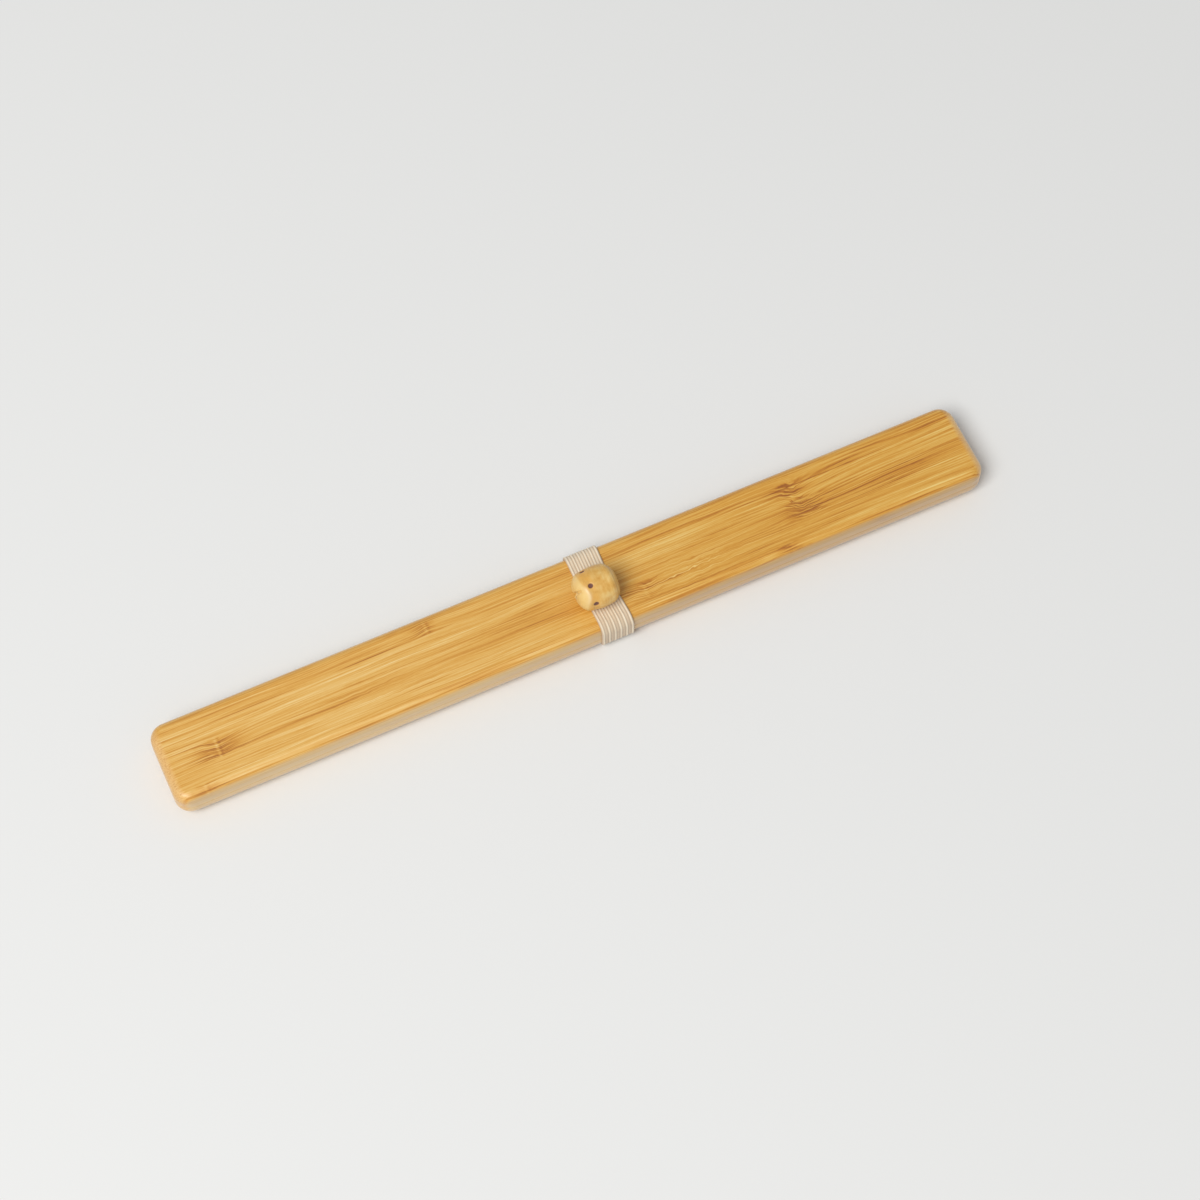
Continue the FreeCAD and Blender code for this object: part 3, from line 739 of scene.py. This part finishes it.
@dataclass
class RootBead:
    """The bead: a rounded drum of bamboo root with a bore, a knot ring with scars and a notched left end."""

    crown_radius: float = 22.0
    left_round: float = 3.7
    right_round: float = 3.4
    bore_radius: float = 0.95
    ring_place: float = -2.15
    ring_width: float = 0.75
    ring_depth: float = 0.07
    lobe_place: float = -4.0
    lobe_bulge: float = 0.75
    ridge_angle: float = 40.0
    ridge_width: float = 0.60
    ridge_height: float = 0.10
    waist_angle: float = 105.0
    notch_depth: float = 0.75
    notch_width: float = 0.55
    notch_aside: float = 0.55
    notch_tilt: float = 0.44
    # Each scar's angle from the top towards the front, radius and strength.
    scars: tuple[tuple[float, float, float], ...] = (
        (-51.0, 0.92, 1.0),
        (14.5, 0.86, 0.92),
        (73.5, 0.95, 0.76),
        (131.0, 0.62, 0.80),
        (192.0, 0.62, 0.80),
        (253.0, 0.62, 0.80),
    )
    scar_depth: float = 0.32
    groove_width: float = 0.34
    groove_at_ends: float = 0.50
    groove_below: float = 0.35
    rows: int = 280
    bore_rows: int = 16
    columns: int = 300

    def __post_init__(self) -> None:
        """Reads the bead's place, radius and length from its CAD solid."""
        low, high = node_box("root_bead")
        self.centre = (low + high) / 2.0
        self.half_length = float(high[0] - low[0]) / 2.0
        self.radius = float(high[2] - low[2]) / 2.0

    def round_centre(self, round_radius: float) -> tuple[float, float]:
        """Places the round that is tangent to the end face and, from inside, to the crown arc."""
        along = self.half_length - round_radius
        rise = math.sqrt((self.crown_radius - round_radius) ** 2 - along**2)
        return along, self.radius - self.crown_radius + rise

    def profile(self) -> np.ndarray:
        """Follows half a section, as place and radius: left end, crown, right end and the bore back."""
        left_along, left_height = self.round_centre(self.left_round)
        right_along, right_height = self.round_centre(self.right_round)
        crown_height = self.radius - self.crown_radius
        left_turn = math.degrees(math.atan2(left_height - crown_height, left_along))
        right_turn = math.degrees(math.atan2(right_height - crown_height, right_along))
        end, bore = self.half_length, self.bore_radius
        outside = [
            np.array([(-end, bore)]),
            arc((-left_along, left_height), self.left_round, 180.0, 180.0 - left_turn),
            arc((0.0, crown_height), self.crown_radius, 180.0 - left_turn, right_turn),
            arc((right_along, right_height), self.right_round, right_turn, 0.0),
            np.array([(end, bore)]),
        ]
        skin, _ = along_route(outside, self.rows - self.bore_rows, closed=False)
        inside = np.linspace(end, -end, self.bore_rows + 2)[1:-1]
        return np.concatenate([skin, np.stack([inside, np.full_like(inside, bore)], axis=-1)])

    def lobe_and_ridge(self, along: np.ndarray, turn: np.ndarray) -> tuple[np.ndarray, np.ndarray]:
        """Says where the pale lobe of the left end lies, and the ridge on its edge."""
        by_ridge = bell(np.sin((turn - math.radians(self.ridge_angle)) / 2.0), 0.20)
        edge = self.lobe_place + self.lobe_bulge * by_ridge + 0.15 * np.sin(3.0 * turn)
        return step(edge - along, -0.25, 0.55), bell(along - edge + 0.25, self.ridge_width) * by_ridge

    def worked_away(self, along: np.ndarray, turn: np.ndarray, ridge: np.ndarray) -> np.ndarray:
        """Adds up what the skin has lost to the knot ring, slow waves, growth rings, waist and end facets."""
        ring = bell(along - self.ring_place, self.ring_width)
        waves = 0.05 * np.sin(3.0 * turn + 0.9 * along) + 0.06 * np.sin(2.0 * turn - 0.5 * along + 1.3)
        growth = 0.025 * np.sin(2.9 * along + 0.5 * np.sin(turn)) * step(along, 0.5, 3.0)
        by_waist = bell(np.sin((turn - math.radians(self.waist_angle)) / 2.0), 0.35)
        waist = 0.16 * bell(along - self.ring_place - 0.2, 1.3) * by_waist
        left_flat = 0.12 * step(-along, 2.2, 5.0)
        facet = 0.10 * step(along, 4.7, 5.1)
        loss = self.ring_depth * ring - self.ridge_height * ridge + 0.09 + waves + growth
        return loss + waist + left_flat + facet

    def scar_marks(self, along: np.ndarray, height: np.ndarray, turn: np.ndarray) -> np.ndarray:
        """Says how deep in a root scar each point lies, from 0 to the scar's strength."""
        mark = np.zeros_like(along)
        for angle, radius, strength in self.scars:
            aside = np.angle(np.exp(1j * (turn - math.radians(angle))))
            apart = np.hypot(along - self.ring_place, height * aside)
            mark = np.maximum(mark, strength * (1.0 - step(apart, radius * 0.55, radius * 1.15)))
        return mark

    def cut_into_ends(
        self, along: np.ndarray, y: np.ndarray, z: np.ndarray, turn: np.ndarray, groove: np.ndarray
    ) -> np.ndarray:
        """Works out how far the ends are cut in: by a tilted notch on the left and by the thread on both."""
        end = step(np.abs(along), self.half_length - 1.5, self.half_length - 0.1)
        across = y + self.notch_tilt * z - self.notch_aside
        uneven = 0.10 * step(-y, 0.2, 2.2) + 0.05 * (1.0 + np.cos(2.0 * turn))
        notch = bell(across, self.notch_width) * self.notch_depth + uneven
        return end * (along < 0.0) * notch + end * groove * self.groove_at_ends

    def build(self) -> bpy.types.Object:
        """Carries the profile round the axis and works the root's own form into it.

        A point at angle t from the top towards the front lies at radius r: y = -r sin t, z = r cos t.
        """
        profile = self.profile()
        along = profile[:, :1] + np.zeros((1, self.columns))
        height = profile[:, 1:] + np.zeros((1, self.columns))
        turn = np.linspace(0.0, WHOLE_TURN, self.columns, endpoint=False)[None, :]
        skin = step(height, self.bore_radius + 0.15, self.bore_radius + 1.6)
        lobe, ridge = self.lobe_and_ridge(along, turn)
        scar = self.scar_marks(along, height, turn)
        groove = bell(height * np.sin(turn), self.groove_width) * step(-np.cos(turn), 0.0, 0.5)
        groove = groove * step(height, 0.5, 0.95)

        lost = self.worked_away(along, turn, ridge) + self.scar_depth * scar
        at_ends = step(np.abs(along), self.half_length - 4.2, self.half_length - 2.6)
        lost = lost * step(height / self.radius, 0.2, 0.7) + groove * at_ends * self.groove_below
        height = height - skin * lost
        y, z = -height * np.sin(turn), height * np.cos(turn)
        along = along - np.sign(along) * self.cut_into_ends(along, y, z, turn, groove)

        points = np.stack([along, y, z], axis=-1) + self.centre
        layers = {Layer.SCAR: scar * skin, Layer.RIDGE: ridge * skin, Layer.LOBE: lobe, Layer.ALONG: along}
        piece = shape_mesh("bead_body", points, True, layers, self.finish())
        attach(piece, "root_bead", Slot.BEAD)
        return piece

    def finish(self) -> bpy.types.Material:
        """Makes the polished root: golden mottling, a pale lobe partly lit by painted light, a painted
        highlight on the ridge, painted shade towards the right end, faint rings and dark scars.
        """
        recipe = Recipe("root_bamboo", Gloss(roughness=0.44, coat=0.14, coat_roughness=0.30))
        x, y, z = recipe.object_place()
        along, scar = recipe.layer(Layer.ALONG), recipe.layer(Layer.SCAR)
        ridge, lobe = recipe.layer(Layer.RIDGE), recipe.layer(Layer.LOBE)
        mottle = recipe.noise((x / 2.6, y / 2.2, z / 2.2))
        rings = recipe.noise((along / 0.55, y / 7.0, z / 7.0), detail=1.0)
        fibres = recipe.noise((x / 0.25, y / 0.9, z / 0.9))
        tone = mottle * 0.60 + rings * 0.25 + fibres * 0.15
        amber = recipe.bell(along - (self.ring_place - 0.6), 1.9) * recipe.rise(mottle, 0.36, 0.56)
        rim_line = recipe.bell(along - 4.9, 0.16)
        stops = [(0.34, (0.630, 0.315, 0.056)), (0.48, (0.725, 0.420, 0.102)), (0.62, (0.790, 0.530, 0.182))]
        colour = recipe.ramp(tone, stops)
        layers = (
            # Pale lobe: partly the root's paler colour, partly painted light where the lobe slopes towards
            # the lamp.
            (lobe * 0.70, (0.83, 0.59, 0.23)),
            (amber * (1.0 - lobe) * 0.9, (0.750, 0.385, 0.070)),
            # Painted highlight along the ridge.
            (ridge * 0.75, (0.86, 0.64, 0.34)),
            # Painted shade towards the right end.
            (recipe.rise(along, 3.8, 5.6) * 0.35, (0.6, 0.39, 0.15)),
            (rim_line * 0.30, (0.4, 0.2, 0.06)),
            (recipe.rise(scar, 0.02, 0.30) * 0.35, (0.6, 0.33, 0.12)),
            (recipe.rise(scar, 0.22, 0.80), (0.150, 0.055, 0.040)),
        )
        for amount, other in layers:
            colour = recipe.tint(amount, colour, other)
        rough = scar * 0.25 + mottle * 0.12 + 0.38
        relief = fibres * 0.35 + rings * 0.45 + mottle * 0.2
        return recipe.finish(colour, rough, relief, 0.03)


@dataclass
class ElasticBand:
    """The elastic: a flat ring of ribbed weave that goes round the case and gives way under the bead."""

    ribs: int = 11
    top_round: float = 2.65
    bottom_round: float = 3.6
    valley_depth: float = 0.22
    low_rib_drop: float = 0.07
    weft_pitch: float = 0.52
    weft_height: float = 0.035
    crest_power: float = 1.3
    low_crest_power: float = 0.8
    lean: float = 0.48
    lean_from: float = 0.62
    ripple: float = 0.08
    aside: float = -0.17
    slant: float = 0.009
    narrowing: float = 0.055
    narrowing_reach: float = 9.5
    inner_gap: float = 0.02
    rows: int = 860
    face_columns: int = 94
    edge_columns: int = 6
    back_columns: int = 12

    def __post_init__(self) -> None:
        """Reads the ring's place and the case's section from the CAD solids."""
        self.low, self.high = node_box("elastic_band")
        self.case_low, self.case_high = node_box("case_base")[0], node_box("case_lid")[1]
        self.thickness = float(self.case_low[2] - self.low[2])

    def girth(self) -> tuple[np.ndarray, np.ndarray, np.ndarray]:
        """Follows the case's section round: runs and arcs of a rounded rectangle, seen along X.

        Returns:
            The points as Y and Z, the outward directions there, and the lengths along the route.
        """
        y, low, high = float(self.case_high[1]), float(self.case_low[2]), float(self.case_high[2])
        top, bottom = self.top_round, self.bottom_round
        route = [
            arc((y - top, high - top), top, 0.0, 90.0),
            arc((top - y, high - top), top, 90.0, 180.0),
            arc((bottom - y, low + bottom), bottom, 180.0, 270.0),
            arc((y - bottom, low + bottom), bottom, 270.0, 360.0),
        ]
        points, length = along_route(route, self.rows, closed=True)
        ahead = np.roll(points, -3, axis=0) - np.roll(points, 3, axis=0)
        ahead /= np.linalg.norm(ahead, axis=1, keepdims=True)
        outward = np.stack([ahead[:, 1], -ahead[:, 0]], axis=-1)
        return points, outward, length

    def section(self) -> tuple[np.ndarray, np.ndarray]:
        """Follows the ring's own section: ribbed face, edge, flat back and edge.

        Returns:
            The place across the width from 0 to 1, and the share of the thickness and of the ribs there.
        """
        face = np.linspace(0.0, 1.0, self.face_columns)
        edge = np.linspace(0.0, 1.0, self.edge_columns + 2)[1:-1]
        back = np.linspace(1.0, 0.0, self.back_columns)
        bulge = 0.008 * np.sin(math.pi * edge)
        across = np.concatenate([face, 1.0 + bulge, back, -bulge])
        share = np.concatenate([np.ones_like(face), 1.0 - edge, np.zeros_like(back), edge])
        return across, share

    def build(self) -> bpy.types.Object:
        """Carries the section round the case.

        The face stands as high as the CAD ring on the crest of each tall rib, which is half a cosine raised
        to a power. Every second rib is lower. Weft bumps run along each rib, half a pitch apart on its
        neighbours. The ring's middle wanders along X by slow waves. Under the bead the ring is narrower and
        no point of it stands higher than the bead's skin.
        """
        girth, outward, length = self.girth()
        across, share = (part[None, :] for part in self.section())
        along = length[:, None]
        whole = float(length[-1] + length[1])
        width = float(self.high[0] - self.low[0])
        middle = float(self.high[0] + self.low[0]) / 2.0

        rib_place = np.clip(across, 0.0, 1.0) * self.ribs
        rib_number = np.minimum(np.floor(rib_place), self.ribs - 1)
        low_rib = rib_number % 2
        power = self.crest_power + (self.low_crest_power - self.crest_power) * low_rib
        crest = np.abs(np.sin(math.pi * rib_place)) ** power
        wefts = round(whole / self.weft_pitch)
        weft = 0.5 + 0.5 * np.cos(WHOLE_TURN * along * wefts / whole + math.pi * rib_number)
        fall = self.valley_depth * (1.0 - crest) + crest * low_rib * self.low_rib_drop
        fall = fall + self.weft_height * (1.0 - weft) * crest
        stand = self.inner_gap + share * (self.thickness - self.inner_gap) - share * fall

        y = girth[:, :1] + outward[:, :1] * stand
        z = girth[:, 1:] + outward[:, 1:] * stand
        bead = RootBead()
        aside = np.clip((y - bead.centre[1]) / bead.radius, -1.0, 1.0)
        skin = bead.centre[2] - bead.radius * np.sqrt(1.0 - aside**2)
        above = (z > float(self.case_high[2])) & (np.abs(aside) < 1.0)
        z = np.where(above, np.minimum(z, skin - 0.01), z)

        phase = WHOLE_TURN * (along / whole - self.lean_from)
        drift = self.lean * np.cos(phase) + self.ripple * np.sin(3.0 * phase) + self.aside + self.slant * y
        pinch = self.narrowing * bell(y - bead.centre[1], self.narrowing_reach) * step(z, 8.0, 11.0)
        x = middle + drift + (across - 0.5) * width * (1.0 - pinch)

        points = np.stack([x + 0.0 * y, y, z], axis=-1)
        dimmed = low_rib * (0.25 + 0.45 * step(-y, 9.0, 12.5))
        layers = {
            Layer.ACROSS: np.broadcast_to(rib_place, y.shape),
            Layer.ALONG: np.broadcast_to(along, y.shape),
            Layer.RIB: crest * (1.0 - dimmed) * share,
        }
        piece = shape_mesh("elastic_weave", points, True, layers, self.finish())
        attach(piece, "elastic_band", Slot.ELASTIC)
        return piece

    def finish(self) -> bpy.types.Material:
        """Makes the weave: cream ribs, browner valleys, the slant of the yarn and a soft sheen."""
        recipe = Recipe("woven_elastic", Gloss(roughness=0.85, specular=0.25, sheen=0.25))
        across, along, rib = recipe.layer(Layer.ACROSS), recipe.layer(Layer.ALONG), recipe.layer(Layer.RIB)
        patches = recipe.noise((across / 1.5, along / 5.0, 0.0))
        yarn = recipe.math("SINE", along * (WHOLE_TURN / 0.30) + across * 5.0) * 0.5 + 0.5
        fuzz = recipe.noise((across * 6.0, along * 5.0, 2.0), detail=2.0, roughness=0.7)
        tone = rib * 0.72 + (patches - 0.5) * 0.35 + (fuzz - 0.5) * 0.35 + yarn * 0.08
        valley, slope, crest = (0.545, 0.410, 0.285), (0.715, 0.580, 0.415), (0.905, 0.800, 0.630)
        colour = recipe.ramp(tone, [(0.05, valley), (0.40, slope), (0.85, crest)])
        relief = yarn * 0.5 * rib + fuzz * 0.5
        return recipe.finish(colour, None, relief, 0.06)


@dataclass
class BeadThread:
    """The bead's thread: twisted strands that run through the bore, round both ends and into the elastic."""

    radius: float = 0.20
    gap: float = 0.10
    tail: float = 1.5
    strands: int = 2
    twist_pitch: float = 1.0
    groove: float = 0.10
    pulled_in: float = 0.885
    rows: int = 420
    columns: int = 28

    def route(self, bead: RootBead) -> tuple[np.ndarray, np.ndarray]:
        """Follows the thread in the bead's middle plane, from under its left end to under its right end.

        Args:
            bead: The bead that it runs through.

        Returns:
            The points, and each one's length along the thread.
        """
        off = self.radius + self.gap
        end, bore = bead.half_length, bead.bore_radius
        left_along, left_height = bead.round_centre(bead.left_round)
        right_along, right_height = bead.round_centre(bead.right_round)
        left_reach, right_reach = bead.left_round + off, bead.right_round + off
        pieces = [
            np.array([(self.tail - left_along, -left_height - left_reach)]),
            arc((-left_along, -left_height), left_reach, 270.0, 180.0),
            arc((-end, -bore), off, 180.0, 90.0),
            arc((end, -bore), off, 90.0, 0.0),
            arc((right_along, -right_height), right_reach, 0.0, -90.0),
            np.array([(right_along - self.tail, -right_height - right_reach)]),
        ]
        return along_route(pieces, self.rows, closed=False)

    def build(self) -> bpy.types.Object:
        """Carries a round section with one groove per strand along the route and turns it as it goes.

        At angle t and length s the radius is r - g * (1 - |cos(n (t - 2 pi s / p) / 2)|), with g the depth of
        the groove, n the number of strands and p the pitch of the twist.
        """
        bead = RootBead()
        route, length = self.route(bead)
        route = route * np.array([[self.pulled_in, 1.0]])
        ahead = np.gradient(route, axis=0)
        ahead /= np.linalg.norm(ahead, axis=1, keepdims=True)
        aside = np.stack([-ahead[:, 1], ahead[:, 0]], axis=-1)[:, None, :]
        angle = np.linspace(0.0, WHOLE_TURN, self.columns, endpoint=False)[None, :]
        twist = WHOLE_TURN * length[:, None] / self.twist_pitch
        cut = 1.0 - np.abs(np.cos(self.strands * (angle - twist) / 2.0))
        section = self.radius - self.groove * cut
        flat = route[:, None, :] + aside * (section * np.cos(angle))[..., None]
        points = np.stack([flat[..., 0], section * np.sin(angle), flat[..., 1]], axis=-1) + bead.centre
        layers = {Layer.RIB: 1.0 - cut, Layer.ALONG: np.broadcast_to(length[:, None], cut.shape)}
        piece = shape_mesh("bead_cord", points, False, layers, self.finish())
        attach(piece, "bead_thread", Slot.THREAD)
        return piece

    def finish(self) -> bpy.types.Material:
        """Makes the thread's yarn: pale strands, darker grooves and fine fibres."""
        recipe = Recipe("sewing_thread", Gloss(roughness=0.8, specular=0.25, sheen=0.2))
        strand, along = recipe.layer(Layer.RIB), recipe.layer(Layer.ALONG)
        x, y, z = recipe.object_place()
        fibres = recipe.noise((x / 0.10, y / 0.10, z / 0.10 + along))
        tone = strand * 0.75 + fibres * 0.25
        colour = recipe.ramp(tone, [(0.1, (0.34, 0.19, 0.07)), (0.8, (0.66, 0.44, 0.19))])
        return recipe.finish(colour, None, fibres, 0.02)


@dataclass(frozen=True)
class SoftBox:
    """A soft studio lamp that lights a level surface below it by a share of full light."""

    name: str
    place: tuple[float, float, float]
    side: float
    share: float
    colour: Colour = (1.0, 1.0, 1.0)

    def build(self, aim: Vector) -> None:
        """Hangs the lamp.

        At a distance d, with a cosine c between its ray and the plumb line, its power is
        share * pi^2 * d^2 / c, so that the floor gets the same light wherever the lamp hangs.

        Args:
            aim: The point that the lamp looks at.
        """
        place = Vector(self.place)
        ray = place - aim
        lamp = bpy.data.lights.new(self.name, "AREA")
        lamp.shape = "SQUARE"
        lamp.size = self.side
        lamp.color = self.colour
        lamp.energy = self.share * math.pi**2 * ray.length_squared / (ray.z / ray.length)
        hung = bpy.data.objects.new(self.name, lamp)
        hung.matrix_world = Matrix.Translation(place) @ ray.to_track_quat("Z", "Y").to_matrix().to_4x4()
        bpy.context.scene.collection.objects.link(hung)


@dataclass
class Studio:
    """The pale floor, the soft light and the camera at the photograph's angle."""

    azimuth: float = -24.80
    elevation: float = 64.28
    distance: float = 0.84096
    roll: float = 0.284
    lens: float = 88.03
    aim: tuple[float, float, float] = (0.00812, 0.00086, 0.0008)
    floor_side: float = 6.0
    floor_colour: Colour = (0.799, 0.803, 0.796)
    sky_share: float = 0.40
    sky_colour: Colour = (0.990, 0.992, 1.000)
    key: SoftBox = SoftBox(
        "key_light", place=(-1.12, -0.62, 1.98), side=1.15, share=0.65, colour=(1.0, 0.993, 0.98)
    )

    def floor(self) -> None:
        """Lays the floor at the lowest point of the part."""
        half = self.floor_side / 2.0
        mesh = bpy.data.meshes.new("studio_floor")
        corners = [(-half, -half, 0.0), (half, -half, 0.0), (half, half, 0.0), (-half, half, 0.0)]
        mesh.from_pydata(corners, [], [(0, 1, 2, 3)])
        recipe = Recipe("studio_floor", Gloss(roughness=0.9, specular=0.1))
        x, y, z = recipe.object_place()
        cloud = recipe.noise((x / 600.0, y / 600.0, z), detail=1.0)
        colour = recipe.tint(cloud * 0.06, self.floor_colour, (0.70, 0.70, 0.68))
        mesh.materials.append(recipe.finish(colour, None, None, 0.0))
        laid = bpy.data.objects.new("studio_floor", mesh)
        bpy.context.scene.collection.objects.link(laid)

    def sky(self) -> None:
        """Lights the room evenly from all sides."""
        world = bpy.data.worlds.new("studio_room")
        bpy.context.scene.world = world
        world.use_nodes = True
        background = world.node_tree.nodes["Background"]
        background.inputs["Color"].default_value = (*self.sky_colour, 1.0)
        background.inputs["Strength"].default_value = self.sky_share

    def camera(self) -> None:
        """Stands the camera where the photographer stood, turned by the roll about its own line of sight."""
        azimuth, elevation = math.radians(self.azimuth), math.radians(self.elevation)
        level = math.cos(elevation)
        back = Vector((math.sin(azimuth) * level, -math.cos(azimuth) * level, math.sin(elevation)))
        lens = bpy.data.cameras.new("photograph_view")
        lens.lens = self.lens
        lens.clip_start = 0.01
        stand = bpy.data.objects.new("photograph_view", lens)
        turn = (-back).to_track_quat("-Z", "Y").to_matrix().to_4x4()
        roll = Matrix.Rotation(math.radians(self.roll), 4, "Z")
        stand.matrix_world = Matrix.Translation(Vector(self.aim) + back * self.distance) @ turn @ roll
        bpy.context.scene.collection.objects.link(stand)
        bpy.context.scene.camera = stand

    def build(self) -> None:
        """Sets up the floor, the light and the camera."""
        self.floor()
        self.sky()
        self.key.build(Vector(self.aim))
        self.camera()
        bpy.context.scene.view_settings.view_transform = "Standard"


def main() -> None:
    """Builds the part's pieces and the studio round them."""
    logging.basicConfig(level=logging.INFO, format="%(name)s: %(message)s")
    BambooCase().build()
    ElasticBand().build()
    RootBead().build()
    BeadThread().build()
    Studio().build()


if __name__ == "__main__":
    main()
